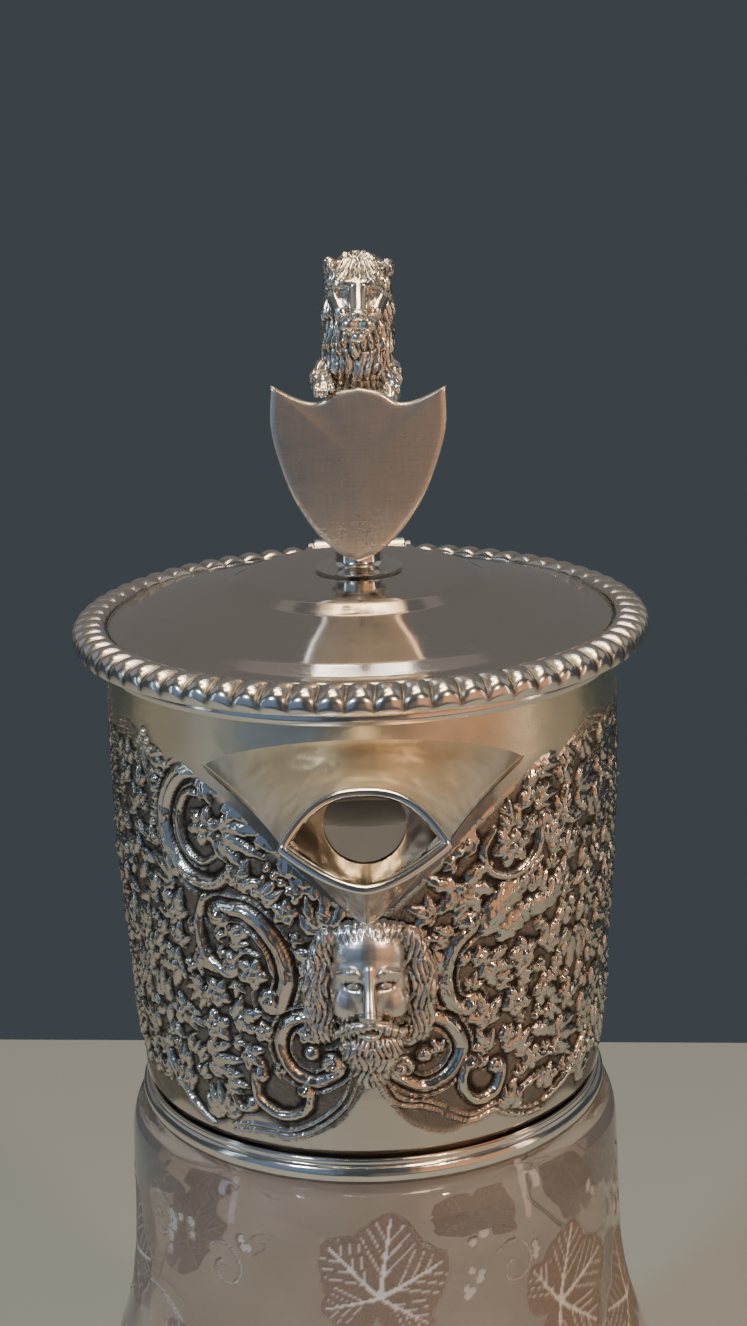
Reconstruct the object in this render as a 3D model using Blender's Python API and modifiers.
"""Silver-mounted glass claret jug: glass body, chased silver collar with a hooded
spout over a bearded mask, C-scroll handle, and a hinged lid with a gadroon border
and a lion-and-shield finial.

Frame: metres, +Z up, origin at the centre of the glass body's underside.
The spout points along -Y, the handle along +Y, and the lid swings up about an
axis parallel to X behind the collar.  Profiles and routes are written in
millimetres, with heights from the collar's foot, and are scaled where used.
"""
import math

import bmesh
import bpy
import numpy as np
from mathutils import Matrix, Vector

MM = 0.001

# ---- driving dimensions, in millimetres -------------------------------------
GLASS_H = 145.0         # height of the glass below the collar's foot
NECK_R = 34.6           # glass neck inside the collar
NECK_TOP = 45.0         # top of the glass neck, above the collar's foot
GLASS_WALL = 3.4
GLASS_FLOOR = 12.0      # thickness of the glass base
COLLAR_H = 78.0         # top edge of the collar
SHEET = 0.9             # silver sheet thickness
GAP = 0.3               # clearance between neighbouring pieces
SPOUT_HOLE_R = 6.1
SPOUT_HOLE_Z = 60.3
LID_R = 46.0            # outer radius of the gadroon border
GADROONS = 68
BEZEL_R = 38.9
STUD_R = 1.5
HINGE_Y = 50.0
HINGE_Z = COLLAR_H + 1.6
KNUCKLE_R = 2.2
PIN_BORE_R = 1.0
PIN_R = 0.7
LEAF_HALF = 8.0         # half width of the hinge
LID_KNUCKLE_HALF = 2.9
HANDLE_TOP_Z = 66.0
HANDLE_FOOT_Z = 11.0
FINIAL_LEAN = math.radians(1.6)
FINIAL_PIVOT_Z = 92.0
SHIELD_Y = -8.5
SHIELD_T = 1.3
STEPS = 36              # facets round the large turned pieces

# collar: outer wall radius against height, without the chased relief
COLLAR_OUTER = [(36.9, 0.8), (36.9, 4.9), (38.0, 6.2), (38.6, 15), (39.1, 26), (39.7, 34),
                (40.2, 42), (40.5, 52), (40.6, 60), (40.6, COLLAR_H)]
# glass: outer radius against height, from the shoulder down to the foot
GLASS_OUTER = [(38.4, -0.3), (40.6, -3), (41.3, -20), (42.4, -33), (44.8, -44), (48.5, -55),
               (54, -70), (58.7, -85), (62, -100), (63.4, -115), (62.4, -128), (58.5, -138),
               (54, -143), (50, -GLASS_H)]


def clear_scene():
    for obj in list(bpy.data.objects):
        bpy.data.objects.remove(obj, do_unlink=True)
    for mesh in list(bpy.data.meshes):
        bpy.data.meshes.remove(mesh)


def new_collection(name):
    collection = bpy.data.collections.new(name)
    bpy.context.scene.collection.children.link(collection)
    return collection


clear_scene()
PARTS = new_collection("claret_jug")
CUTTERS = new_collection("cutters")


# ---- materials ----------------------------------------------------------------
def material(name, colour, roughness, metallic=0.0, transmission=0.0):
    mat = bpy.data.materials.new(name)
    mat.use_nodes = True
    shader = mat.node_tree.nodes["Principled BSDF"]
    shader.inputs["Base Color"].default_value = (*colour, 1.0)
    shader.inputs["Roughness"].default_value = roughness
    shader.inputs["Metallic"].default_value = metallic
    shader.inputs["Transmission Weight"].default_value = transmission
    mat.diffuse_color = (*colour, 1.0)
    return mat


def silver(name, shade=0.75, roughness=0.25):
    return material(name, (shade, shade * 0.95, shade * 0.88), roughness, metallic=1.0)


# ---- building helpers -----------------------------------------------------------
def world(x, y, z):
    """Millimetres with z from the collar's foot, to metres in the object's frame."""
    return Vector((x * MM, y * MM, (z + GLASS_H) * MM))


def add_object(name, data, mat, collection=None):
    obj = bpy.data.objects.new(name, data)
    (collection or PARTS).objects.link(obj)
    if mat is not None:
        data.materials.append(mat)
    return obj


def as_cutter(obj):
    obj.hide_render = True
    obj.display_type = 'WIRE'
    return obj


def smooth(mesh, angle=40.0):
    mesh.shade_smooth()
    mesh.set_sharp_from_angle(angle=math.radians(angle))


def turned(name, profile, mat, steps=STEPS, closed=False, collection=None):
    """Body of revolution about Z; the profile runs down its outer side."""
    mesh = bpy.data.meshes.new(name)
    edges = [(i, i + 1) for i in range(len(profile) - 1)]
    if closed:
        edges.append((len(profile) - 1, 0))
    mesh.from_pydata([world(r, 0, z) for r, z in profile], edges, [])
    obj = add_object(name, mesh, mat, collection)
    screw = obj.modifiers.new("turn", 'SCREW')
    screw.steps = screw.render_steps = steps
    screw.use_merge_vertices = True
    screw.merge_threshold = 0.00001
    screw.use_smooth_shade = True
    return obj


def mesh_object(name, bm, mat, collection=None):
    bmesh.ops.recalc_face_normals(bm, faces=bm.faces)
    mesh = bpy.data.meshes.new(name)
    bm.to_mesh(mesh)
    bm.free()
    smooth(mesh)
    return add_object(name, mesh, mat, collection)


def add_box(bm, low, high):
    """Box between two corners, in millimetres from the collar's foot."""
    low, high = world(*low), world(*high)
    size = high - low
    place = Matrix.Translation((low + high) / 2) @ Matrix.Diagonal((*size, 1.0))
    bmesh.ops.create_cube(bm, size=1.0, matrix=place)


def add_cylinder(bm, centre, radius, length, axis, segments=24, end_radius=None):
    """Cylinder or cone centred at a point, its length along axis."""
    turn = Vector((0, 0, 1)).rotation_difference(Vector(axis)).to_matrix().to_4x4()
    bmesh.ops.create_cone(bm, cap_ends=True, segments=segments, radius1=radius * MM,
                          radius2=(radius if end_radius is None else end_radius) * MM,
                          depth=length * MM, matrix=Matrix.Translation(world(*centre)) @ turn)


def add_ellipsoid(bm, centre, radii, segments=16):
    place = Matrix.Translation(world(*centre)) @ Matrix.Diagonal((*[r * MM for r in radii], 1.0))
    bmesh.ops.create_uvsphere(bm, u_segments=segments, v_segments=segments // 2 + 2, radius=1.0,
                              matrix=place)


def add_limb(bm, points, radii, spacing=1.0):
    """Row of overlapping balls along a polyline, for a limb or a tail."""
    for (a, b), (ra, rb) in zip(zip(points, points[1:]), zip(radii, radii[1:])):
        length = (Vector(b) - Vector(a)).length
        count = max(2, int(length / spacing))
        for i in range(count + 1):
            k = i / count
            r = ra + (rb - ra) * k
            add_ellipsoid(bm, Vector(a).lerp(Vector(b), k), (r, r, r), segments=10)


def boolean(obj, other, operation='DIFFERENCE'):
    mod = obj.modifiers.new(operation.lower(), 'BOOLEAN')
    mod.operation = operation
    mod.object = other
    mod.solver = 'EXACT'


def remesh(obj, voxel):
    mod = obj.modifiers.new("remesh", 'REMESH')
    mod.mode = 'VOXEL'
    mod.voxel_size = voxel * MM
    mod.use_smooth_shade = True


def smooth_path(points, per_span=4):
    """Catmull-Rom points through a route."""
    pts = [Vector(p) for p in points]
    pts = [2 * pts[0] - pts[1]] + pts + [2 * pts[-1] - pts[-2]]
    out = []
    for i in range(1, len(pts) - 2):
        a, b, c, d = pts[i - 1:i + 3]
        for j in range(per_span):
            t = j / per_span
            out.append(0.5 * (2 * b + (c - a) * t + (2 * a - 5 * b + 4 * c - d) * t ** 2
                              + (3 * b - a - 3 * c + d) * t ** 3))
    return out + [pts[-2]]


def tube(name, points, radii, mat, cyclic=False, bevel_resolution=2):
    """Round bar along points (millimetres), with a radius at each point."""
    curve = bpy.data.curves.new(name, 'CURVE')
    curve.dimensions = '3D'
    curve.bevel_depth = MM
    curve.bevel_resolution = bevel_resolution
    curve.use_fill_caps = True
    spline = curve.splines.new('POLY')
    spline.points.add(len(points) - 1)
    spline.use_cyclic_u = cyclic
    for point, place, radius in zip(spline.points, points, radii):
        point.co = (*world(*place), 1.0)
        point.radius = radius
    return add_object(name, curve, mat)


def outline_plate(name, outline, thickness, grow, mat, collection=None):
    """Flat plate standing in the XZ plane at SHIELD_Y, made from a filled 2D outline."""
    curve = bpy.data.curves.new(name, 'CURVE')
    curve.dimensions = '2D'
    curve.fill_mode = 'BOTH'
    curve.extrude = thickness / 2 * MM
    spline = curve.splines.new('POLY')
    spline.points.add(len(outline) - 1)
    spline.use_cyclic_u = True
    middle = sum(z for _, z in outline) / len(outline)
    for point, (x, z) in zip(spline.points, outline):
        away = Vector((x, z - middle)).normalized() * grow
        point.co = ((x + away.x) * MM, (z + away.y) * MM, 0.0, 1.0)
    flat = add_object(name + "_outline", curve, None, CUTTERS)
    flat.matrix_world = (Matrix.Translation(world(0, SHIELD_Y, 0))
                         @ Matrix.Rotation(math.pi / 2, 4, 'X'))
    bpy.context.view_layer.update()
    mesh = bpy.data.meshes.new_from_object(flat.evaluated_get(bpy.context.evaluated_depsgraph_get()))
    mesh.name = name
    mesh.transform(flat.matrix_world)
    bpy.data.objects.remove(flat, do_unlink=True)
    bm = bmesh.new()
    bm.from_mesh(mesh)
    bmesh.ops.remove_doubles(bm, verts=bm.verts, dist=0.000005)
    bpy.data.meshes.remove(mesh)
    return mesh_object(name, bm, mat, collection)


def lean(obj):
    """Tip a finial piece a little towards +X about the foot of the finial."""
    pivot = world(0, 0, FINIAL_PIVOT_Z)
    obj.data.transform(Matrix.Translation(pivot) @ Matrix.Rotation(FINIAL_LEAN, 4, 'Y')
                       @ Matrix.Translation(-pivot))


# ---- collar envelope: trims everything that is soldered to the collar's outside ----
def collar_envelope():
    profile = [(0, COLLAR_H + 2), (42.2, COLLAR_H + 2), (42.2, 75.3), (40.9, 75.3)]
    profile += [(r + GAP, z) for r, z in reversed(COLLAR_OUTER[2:-1])]
    profile += [(38.8, 4.9), (38.8, -2.0), (0, -2.0)]
    return as_cutter(turned("collar_envelope", profile, None, collection=CUTTERS))


ENVELOPE = collar_envelope()


# ---- glass body --------------------------------------------------------------------
def build_glass():
    floor = GLASS_FLOOR - GLASS_H
    inner = [(0, floor), (38, floor), (49.5, floor + 2.8), (57, -123), (60, -113)]
    inner += [(r - GLASS_WALL - 0.2, z) for r, z in reversed(GLASS_OUTER[2:9])]
    inner += [(37.4, -8), (33.5, -4), (NECK_R - GLASS_WALL, 1), (NECK_R - GLASS_WALL, NECK_TOP - 0.6)]
    rim = [(NECK_R - GLASS_WALL + 0.6, NECK_TOP), (NECK_R - 0.6, NECK_TOP), (NECK_R, NECK_TOP - 0.6)]
    outer = [(NECK_R, -0.3)] + GLASS_OUTER + [(0, -GLASS_H)]
    glass = material("clear_glass", (0.93, 0.95, 0.95), 0.03, transmission=1.0)
    turned("glass_body", inner + rim + outer, glass)


def build_cement():
    outside = [(r - SHEET - GAP, z) for r, z in COLLAR_OUTER if 6 < z < 40]
    low, high = 1.2, 41.8
    profile = [(NECK_R + GAP, low), (NECK_R + GAP, high), (38.8, high)] + outside[::-1]
    profile += [(35.7, 5.4), (35.7, low)]
    turned("neck_cement", profile, material("plaster", (0.82, 0.79, 0.72), 0.9), closed=True)


def build_rim_liner():
    bore = NECK_R - GLASS_WALL - GAP
    top = NECK_TOP + GAP + 0.8
    profile = [(39.0, top), (39.0, top - 0.8), (bore, top - 0.8), (bore, 39.0),
               (bore - SHEET, 39.0), (bore - SHEET, top)]
    turned("rim_liner", profile, silver("silver_rim_liner"), closed=True)


# ---- collar ------------------------------------------------------------------------
def build_collar():
    outer = COLLAR_OUTER[::-1]
    inner = [(r - SHEET, z) for r, z in COLLAR_OUTER]
    wall = turned("collar_wall", outer + inner, silver("silver_collar"), closed=True)
    bm = bmesh.new()
    add_cylinder(bm, (0, -45, SPOUT_HOLE_Z), SPOUT_HOLE_R, 30, (0, 1, 0), segments=32)
    boolean(wall, as_cutter(mesh_object("spout_hole", bm, None, CUTTERS)))

    foot_bore = COLLAR_OUTER[0][0] + GAP
    moulding = [(foot_bore, 4.6), (38.3, 4.3), (38.5, 3.2), (37.8, 1.75), (38.05, 0.9), (foot_bore, 0.15)]
    turned("collar_base_moulding", moulding, silver("silver_base_moulding"), closed=True)
    bore = COLLAR_OUTER[-1][0] + GAP
    bead = [(bore, 77.8), (41.6, 77.6), (41.9, 76.7), (41.6, 75.8), (bore, 75.6)]
    turned("collar_rim_bead", bead, silver("silver_rim_bead"), closed=True)


# ---- spout ---------------------------------------------------------------------------
SPOUT_COLUMNS = [-1, -0.78, -0.5, -0.25, 0, 0.25, 0.5, 0.78, 1]
SPOUT_ROWS = np.linspace(0, 1, 7)
EDGE_ROOT = np.array((29.0, -27.0, 68.6))      # side edge of the spout, on the collar
EDGE_MID = np.array((17.6, -41.0, 65.6))
EDGE_TIP = np.array((11.6, -57.0, 63.4))       # corner of the mouth
ROOT_R = 38.5                                  # the sheets start inside the collar wall
HOOD_RISE = 5.8                                # crown of the hood above the side edges
TROUGH_DROP = 23.4                             # keel of the trough below them, at the collar
MITRE = 1.4                                    # inward set of the inner skins at the side edges
LIP_WIRE_R = 0.7


def bezier(a, b, c, s):
    return (1 - s) ** 2 * a + 2 * s * (1 - s) * b + s ** 2 * c


def side(point, t):
    return np.array((point[0] * t, point[1], point[2]))


def on_collar(x, z):
    return np.array((x, -math.sqrt(max(ROOT_R ** 2 - x ** 2, 1.0)), z))


def hood_point(s, t):
    """Top sheet: collar (s = 0) to mouth arch (s = 1), side edge to side edge."""
    crown = 1 - abs(t) ** 2
    root = on_collar(EDGE_ROOT[0] * t, EDGE_ROOT[2] + HOOD_RISE * crown ** 0.7)
    mid = side(EDGE_MID, t) + crown * np.array((0, -2.5, HOOD_RISE))
    arch = side(EDGE_TIP, t) + (1 - abs(t) ** 2.6) * np.array((0, 4.0, 6.6))
    return bezier(root, mid, arch, s)


def trough_point(s, t):
    """Under sheet with its keel: collar (s = 0) to the mouth's lower lip (s = 1)."""
    depth = (1 - abs(t) ** 1.3) ** 1.5
    root = on_collar(EDGE_ROOT[0] * t, EDGE_ROOT[2] - TROUGH_DROP * depth)
    mid = side(EDGE_MID, t) + depth * np.array((0, -12.0, -18.6))
    lip = side(EDGE_TIP, t) + (1 - abs(t) ** 1.6) * np.array((0, -3.0, -5.2))
    return bezier(root, mid, lip, s)


def sheet_normals(points, upward):
    normals = np.cross(np.gradient(points, axis=0), np.gradient(points, axis=1))
    normals /= np.linalg.norm(normals, axis=2, keepdims=True) + 1e-9
    if (normals[:, len(SPOUT_COLUMNS) // 2, 2].mean() > 0) != upward:
        normals = -normals
    return normals


def closed_sheet(name, outer, inner, mat):
    """Loft between an outer and an inner grid of points, closed round its border."""
    bm = bmesh.new()
    rows, columns = outer.shape[:2]
    grids = [[[bm.verts.new(world(*p)) for p in row] for row in grid] for grid in (outer, inner)]
    for grid in grids:
        for i in range(rows - 1):
            for j in range(columns - 1):
                bm.faces.new((grid[i][j], grid[i + 1][j], grid[i + 1][j + 1], grid[i][j + 1]))
    border = [(i, 0) for i in range(rows)] + [(rows - 1, j) for j in range(1, columns)]
    border += [(i, columns - 1) for i in range(rows - 2, -1, -1)]
    border += [(0, j) for j in range(columns - 2, 0, -1)]
    for (i, j), (k, m) in zip(border, border[1:] + border[:1]):
        bm.faces.new((grids[0][i][j], grids[0][k][m], grids[1][k][m], grids[1][i][j]))
    return mesh_object(name, bm, mat)


def build_spout():
    hood = np.array([[hood_point(s, t) for t in SPOUT_COLUMNS] for s in SPOUT_ROWS])
    trough = np.array([[trough_point(s, t) for t in SPOUT_COLUMNS] for s in SPOUT_ROWS])
    hood_out = sheet_normals(hood, True)
    trough_out = sheet_normals(trough, False)
    hood_in = hood - SHEET * hood_out
    trough_in = trough - SHEET * trough_out
    for column in (0, -1):      # both sheets are mitred where they meet at the side edge
        inward = -(hood_out[:, column] + trough_out[:, column])
        inward /= np.linalg.norm(inward, axis=1, keepdims=True) + 1e-9
        hood_in[:, column] = hood[:, column] + MITRE * inward
        trough_in[:, column] = trough[:, column] + MITRE * inward
    split = np.array((0, 0, GAP / 2 + 0.02))
    boolean(closed_sheet("spout_hood", hood + split, hood_in + split, silver("silver_spout_hood")),
            ENVELOPE)
    boolean(closed_sheet("spout_trough", trough - split, trough_in - split,
                         silver("silver_spout_trough")), ENVELOPE)

    ahead = np.array((0, -1.1, 0.15))
    columns = np.linspace(-1, 1, 13)
    arch = [hood_point(1, t) + ahead for t in columns]
    lip = [trough_point(1, t) + ahead for t in columns[-2:0:-1]]
    ring = [Vector(p) for p in arch + lip]
    tube("spout_lip_wire", ring, [LIP_WIRE_R] * len(ring), silver("silver_lip_wire", 0.85, 0.15), cyclic=True)


def build_mask():
    """Bearded mask under the spout, as a plain low relief of rounded forms."""
    bm = bmesh.new()
    add_ellipsoid(bm, (0, -39.6, 33), (9.0, 6.6, 10.5))
    add_ellipsoid(bm, (0, -40.4, 23.5), (6.6, 4.4, 6.0))
    add_limb(bm, [(0, -45.2, 36.5), (0, -46.9, 31.0)], [1.2, 1.8])
    for hand in (-1, 1):
        add_limb(bm, [(hand * 2, -45.6, 37.2), (hand * 6.2, -43.6, 37.0)], [1.2, 1.0])
        add_limb(bm, [(hand * 0.8, -46.2, 28.6), (hand * 5.2, -43.6, 25.2), (hand * 6.6, -41.4, 21)],
                 [1.4, 1.8, 1.0])
        add_limb(bm, [(hand * 8.0, -40.2, 40), (hand * 10.6, -39.4, 33), (hand * 8.6, -39.6, 24)],
                 [1.8, 2.0, 1.6])
    mask = mesh_object("spout_mask", bm, silver("silver_mask", 0.6, 0.35))
    remesh(mask, 1.8)
    boolean(mask, ENVELOPE)


# ---- handle ---------------------------------------------------------------------------
HANDLE_ROUTE = [(0, 47.9, HANDLE_TOP_Z), (0, 51, HANDLE_TOP_Z), (0, 56, 67), (0, 63, 68.6),
                (0, 70, 68.2), (0, 77, 63.4), (0, 81, 54), (0, 81, 43), (0, 77, 32), (0, 70, 23),
                (0, 62, 16), (0, 55, 12), (0, 49.5, HANDLE_FOOT_Z), (0, 45.8, HANDLE_FOOT_Z)]
HANDLE_SWELL = 1.0


def handle_radius(k):
    """Bar radius along the handle, k from 0 at the top to 1 at the foot."""
    return 3.4 + HANDLE_SWELL * math.sin(math.pi * min(1.0, k * 1.25)) ** 2


def build_handle():
    route = smooth_path(HANDLE_ROUTE, 3)
    radii = [handle_radius(i / (len(route) - 1)) for i in range(len(route))]
    tube("handle_scroll", route, radii, silver("silver_handle"))

    bm = bmesh.new()
    add_cylinder(bm, (0, 41.5, HANDLE_TOP_Z), 6.2, 12, (0, 1, 0), end_radius=4.6)
    boolean(mesh_object("handle_upper_socket", bm, silver("silver_upper_socket")), ENVELOPE)
    bm = bmesh.new()
    add_cylinder(bm, (0, 40.5, HANDLE_FOOT_Z), 5.2, 10, (0, 1, 0), end_radius=4.2)
    boolean(mesh_object("handle_lower_socket", bm, silver("silver_lower_socket")), ENVELOPE)

    first, last = 8, 19
    sections = []
    for i in range(first, last):
        k = (i - first) / (last - 1 - first)
        along = (route[i + 1] - route[i - 1]).normalized()
        out = Vector((0, along.z, -along.y))
        out = -out if out.dot(Vector((0, 1, 0.4))) < 0 else out
        half = 0.6 + 5.2 * math.sin(math.pi * (0.12 + 0.82 * k)) ** 0.8
        lift = radii[i] + GAP + 0.1
        curl = 2.6 * (1 - k) ** 3 + 1.8 * k ** 4
        section = []
        for x, h in ((-1, 0.15), (-0.5, 0.75), (0, 1.1), (0.5, 0.75), (1, 0.15),
                     (0.5, -0.35), (0, 0), (-0.5, -0.35)):
            rise = lift + curl + 1.2 * h + (0.5 if abs(x) == 0.5 and h < 0 else 0.0)
            section.append(route[i] + Vector((x * half, 0, 0)) + out * rise)
        sections.append(section)
    bm = bmesh.new()
    rings = [[bm.verts.new(world(*p)) for p in section] for section in sections]
    for a, b in zip(rings, rings[1:]):
        for j in range(len(a)):
            bm.faces.new((a[j], a[(j + 1) % len(a)], b[(j + 1) % len(a)], b[j]))
    bm.faces.new(rings[0])
    bm.faces.new(rings[-1])
    bmesh.ops.triangulate(bm, faces=[f for f in bm.faces if len(f.verts) > 4])
    mesh_object("handle_leaf", bm, silver("silver_handle_leaf"))


# ---- hinge ----------------------------------------------------------------------------
def bore(obj, radius):
    bm = bmesh.new()
    add_cylinder(bm, (0, HINGE_Y, HINGE_Z), radius, 2 * LEAF_HALF + 8, (1, 0, 0))
    boolean(obj, as_cutter(mesh_object(obj.name + "_bore", bm, None, CUTTERS)))


def join_boxes(obj, boxes):
    for index, (low, high) in enumerate(boxes):
        bm = bmesh.new()
        add_box(bm, low, high)
        boolean(obj, as_cutter(mesh_object(f"{obj.name}_join{index}", bm, None, CUTTERS)), 'UNION')


def build_hinge():
    top = COLLAR_H - 1.0
    bm = bmesh.new()
    add_box(bm, (-LEAF_HALF, 36, top - 4), (LEAF_HALF, HINGE_Y + 1.8, top))
    bracket = mesh_object("hinge_bracket", bm, silver("silver_hinge_bracket"))
    inner = LID_KNUCKLE_HALF + GAP
    for hand in (-1, 1):
        ends = sorted((hand * inner, hand * LEAF_HALF))
        join_boxes(bracket, [((ends[0], HINGE_Y - 1.8, top - 1), (ends[1], HINGE_Y + 1.8, HINGE_Z))])
        bm = bmesh.new()
        add_cylinder(bm, (hand * (inner + LEAF_HALF) / 2, HINGE_Y, HINGE_Z), KNUCKLE_R,
                     LEAF_HALF - inner, (1, 0, 0))
        knuckle = mesh_object("fixed_knuckle_" + ("left" if hand < 0 else "right"), bm, None, CUTTERS)
        boolean(bracket, as_cutter(knuckle), 'UNION')
    bore(bracket, PIN_BORE_R)
    boolean(bracket, ENVELOPE)

    head = LEAF_HALF + GAP
    shank = [(0, head + 0.8), (1.6, head + 0.8), (1.6, head), (PIN_R, head), (PIN_R, -head),
             (1.6, -head), (1.6, -head - 0.8), (0, -head - 0.8)]
    pin = turned("hinge_pin", [(r, z - GLASS_H) for r, z in shank], silver("silver_pin"), steps=20)
    pin.matrix_world = (Matrix.Translation(world(0, HINGE_Y, HINGE_Z))
                        @ Matrix.Rotation(math.pi / 2, 4, 'Y'))


# ---- lid --------------------------------------------------------------------------------
LID_TOP = [(1.8, 88.9), (8, 88.8), (14, 88.5), (18.6, 87.9), (21, 86.9), (24, 86.0), (31, 84.2),
           (37.5, 82.2), (40.2, 81.6)]


def lid_axis_empty():
    empty = bpy.data.objects.new("lid_axis", None)
    empty.location = world(0, HINGE_Y, HINGE_Z)
    PARTS.objects.link(empty)
    return empty


def build_lid():
    pieces = []
    plate = LID_TOP + [(r, z - SHEET) for r, z in reversed(LID_TOP)]
    pieces.append(turned("lid_plate", plate, silver("silver_lid_plate", 0.8, 0.22), closed=True))

    seat = 40.2
    bezel = [(BEZEL_R, 80.5), (BEZEL_R, 79.2), (seat, 79.2), (seat, 78.4), (BEZEL_R, 78.4),
             (BEZEL_R, 74.0), (BEZEL_R - SHEET, 74.0), (BEZEL_R - SHEET, 80.5)]
    pieces.append(turned("lid_bezel", bezel, silver("silver_bezel"), closed=True))
    pieces.append(build_gadroon_border())

    leaf = bmesh.new()
    add_box(leaf, (-LEAF_HALF, 36, 78.5), (LEAF_HALF, HINGE_Y - 3.2, 81.0))
    leaf = mesh_object("lid_hinge_leaf", leaf, silver("silver_hinge_leaf"))
    half = LID_KNUCKLE_HALF
    join_boxes(leaf, [((-half, HINGE_Y - 4, 78.8), (half, HINGE_Y, 80.6))])
    bm = bmesh.new()
    add_cylinder(bm, (0, HINGE_Y, HINGE_Z), KNUCKLE_R, 2 * half, (1, 0, 0))
    boolean(leaf, as_cutter(mesh_object("lid_knuckle", bm, None, CUTTERS)), 'UNION')
    bore(leaf, PIN_BORE_R)
    rim = [(0, 84), (seat + GAP + 0.2, 84), (seat + GAP + 0.2, 76), (0, 76)]
    boolean(leaf, as_cutter(turned("lid_rim_clearance", rim, None, collection=CUTTERS)))
    pieces.append(leaf)
    return pieces


def build_gadroon_border():
    """Ring of radial lobes: a torus whose section swells and shrinks round the rim."""
    middle, half_width, half_height = (LID_R + 40.6) / 2, (LID_R - 40.6) / 2, 1.95
    bpy.ops.mesh.primitive_torus_add(major_segments=2 * GADROONS, minor_segments=6,
                                     major_radius=middle * MM, minor_radius=1.0 * MM)
    ring = bpy.context.object
    ring.name = ring.data.name = "lid_gadroon_border"
    for collection in list(ring.users_collection):
        collection.objects.unlink(ring)
    PARTS.objects.link(ring)
    ring.data.materials.append(silver("silver_gadroon", 0.75, 0.25))
    for vertex in ring.data.vertices:
        x, y, z = vertex.co
        angle = math.atan2(y, x)
        across = math.hypot(x, y) / MM - middle
        up = z / MM
        lobe = math.cos(GADROONS * angle)
        outward = max(0.0, across)
        radius = middle + across * half_width - 0.35 * outward * (1 - lobe)
        height = up * half_height * (0.87 + 0.13 * lobe) - 0.5 * across
        vertex.co = world(radius * math.cos(angle), radius * math.sin(angle), 80.35 + height)
    smooth(ring.data, 30)
    bm = bmesh.new()
    notch = LEAF_HALF + GAP
    add_box(bm, (-notch, 38, 74), (notch, 52, 88))
    boolean(ring, as_cutter(mesh_object("gadroon_notch", bm, None, CUTTERS)))
    return ring


# ---- finial -------------------------------------------------------------------------------
SHIELD_HALF = [(3.6, 118.5), (6.3, 117.0), (9.4, 117.6), (13.35, 119.6), (13.5, 113.5), (12.1, 107.6),
               (9.8, 101.8), (6.4, 96.6), (3.0, 93.4)]
SHIELD_PEAK = (0, 119.3)
SHIELD_TIP = (0, 92.0)


def shield_outline():
    left = [(-x, z) for x, z in reversed(SHIELD_HALF)]
    return [SHIELD_PEAK] + SHIELD_HALF + [SHIELD_TIP] + left


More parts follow.
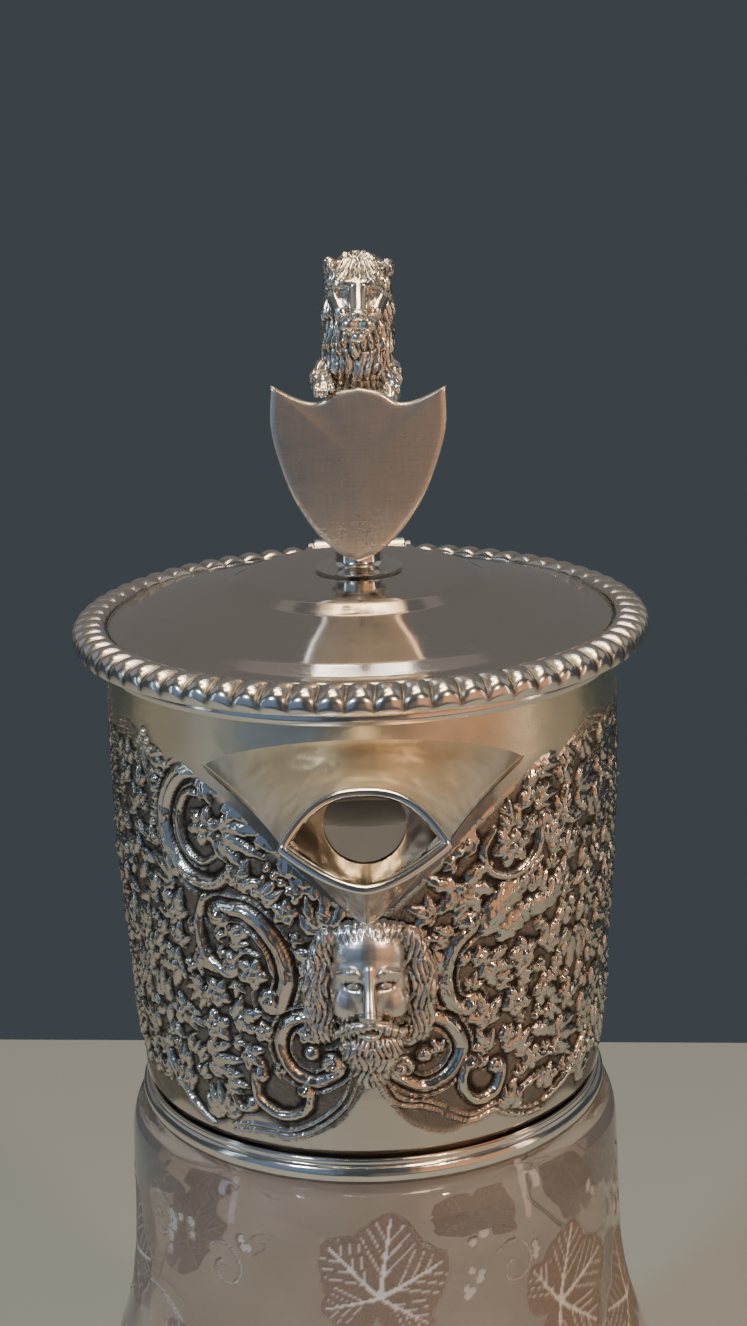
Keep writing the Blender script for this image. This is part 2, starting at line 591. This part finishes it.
def build_lion():
    """Lion rampant facing the front, standing behind the shield with its paws on it."""
    bm = bmesh.new()
    for hand in (-1, 1):
        add_ellipsoid(bm, (hand * 2.6, -0.6, 94.9), (1.7, 3.2, 1.3))
        add_limb(bm, [(hand * 2.6, 0.8, 95.2), (hand * 2.9, 2.2, 99.0), (hand * 2.9, 1.2, 103)],
                 [1.5, 2.0, 3.1])
        add_limb(bm, [(hand * 4.6, -1.2, 121), (hand * 5.8, -3.4, 118.6), (hand * 5.4, -6.6, 119.0)],
                 [2.6, 2.0, 1.7])
        add_ellipsoid(bm, (hand * 5.3, -8.6, 118.6), (1.7, 1.9, 1.5))
        add_ellipsoid(bm, (hand * 4.7, 0.2, 137.8), (1.5, 1.2, 1.6))
    add_limb(bm, [(0, 2.2, 103), (0, 1.2, 112), (0, 0.2, 119)], [4.9, 5.0, 5.6], spacing=2.0)
    add_ellipsoid(bm, (0, -0.2, 124), (6.9, 5.6, 8.6))
    add_ellipsoid(bm, (0, -1.6, 132.5), (6.0, 6.0, 6.9))
    add_ellipsoid(bm, (0, -6.6, 129.4), (2.9, 3.2, 2.6))
    add_ellipsoid(bm, (0, -6.0, 126.9), (2.2, 2.4, 1.9))
    add_limb(bm, [(0, 5.4, 101), (0, 9.6, 103.5), (0, 11.6, 110), (0, 10.2, 117), (0, 11.4, 121.5)],
             [1.8, 1.6, 1.5, 1.5, 1.9])
    lion = mesh_object("finial_lion", bm, silver("silver_lion", 0.62, 0.35))
    lean(lion)
    remesh(lion, 1.6)
    cutter = outline_plate("shield_clearance", shield_outline(), SHIELD_T + 2 * GAP, GAP + 0.15, None,
                           CUTTERS)
    lean(cutter)
    boolean(lion, as_cutter(cutter))
    return lion


def build_finial():
    plinth = [(0, 93.3), (4.3, 93.3), (4.6, 92.9), (4.3, 92.5), (3.9, 92.2), (3.8, 90.6), (4.3, 90.0),
              (5.4, 89.5), (7.0, 89.35), (7.0, 89.2), (1.8, 89.3), (1.8, 92.2), (0, 92.2)]
    pieces = [turned("finial_plinth", plinth, silver("silver_plinth"), steps=28)]

    shield = outline_plate("finial_shield", shield_outline(), SHIELD_T, 0.0,
                           silver("silver_shield", 0.7, 0.3))
    lean(shield)
    pieces += [shield, build_lion()]

    stud = [(0, 91.9), (STUD_R, 91.9), (STUD_R, 83.2), (0, 83.2)]
    pieces.append(turned("finial_stud", stud, silver("silver_stud"), steps=20))
    washer = [(4.6, 87.6), (4.6, 86.9), (STUD_R + GAP, 86.9), (STUD_R + GAP, 87.6)]
    pieces.append(turned("finial_washer", washer, silver("silver_washer"), steps=32, closed=True))
    bm = bmesh.new()
    add_cylinder(bm, (0, 0, 85.2), 3.4, 2.8, (0, 0, 1), segments=6)
    nut = mesh_object("finial_nut", bm, silver("silver_nut"))
    bm = bmesh.new()
    add_cylinder(bm, (0, 0, 85.2), STUD_R + GAP, 8, (0, 0, 1), segments=20)
    boolean(nut, as_cutter(mesh_object("nut_bore", bm, None, CUTTERS)))
    pieces.append(nut)
    return pieces


def parent_at_rest(pieces, empty):
    bpy.context.view_layer.update()
    for piece in pieces:
        place = piece.matrix_world.copy()
        piece.parent = empty
        piece.matrix_parent_inverse = empty.matrix_world.inverted()
        piece.matrix_world = place


build_glass()
build_cement()
build_rim_liner()
build_collar()
build_spout()
build_mask()
build_handle()
build_hinge()
parent_at_rest(build_lid() + build_finial(), lid_axis_empty())
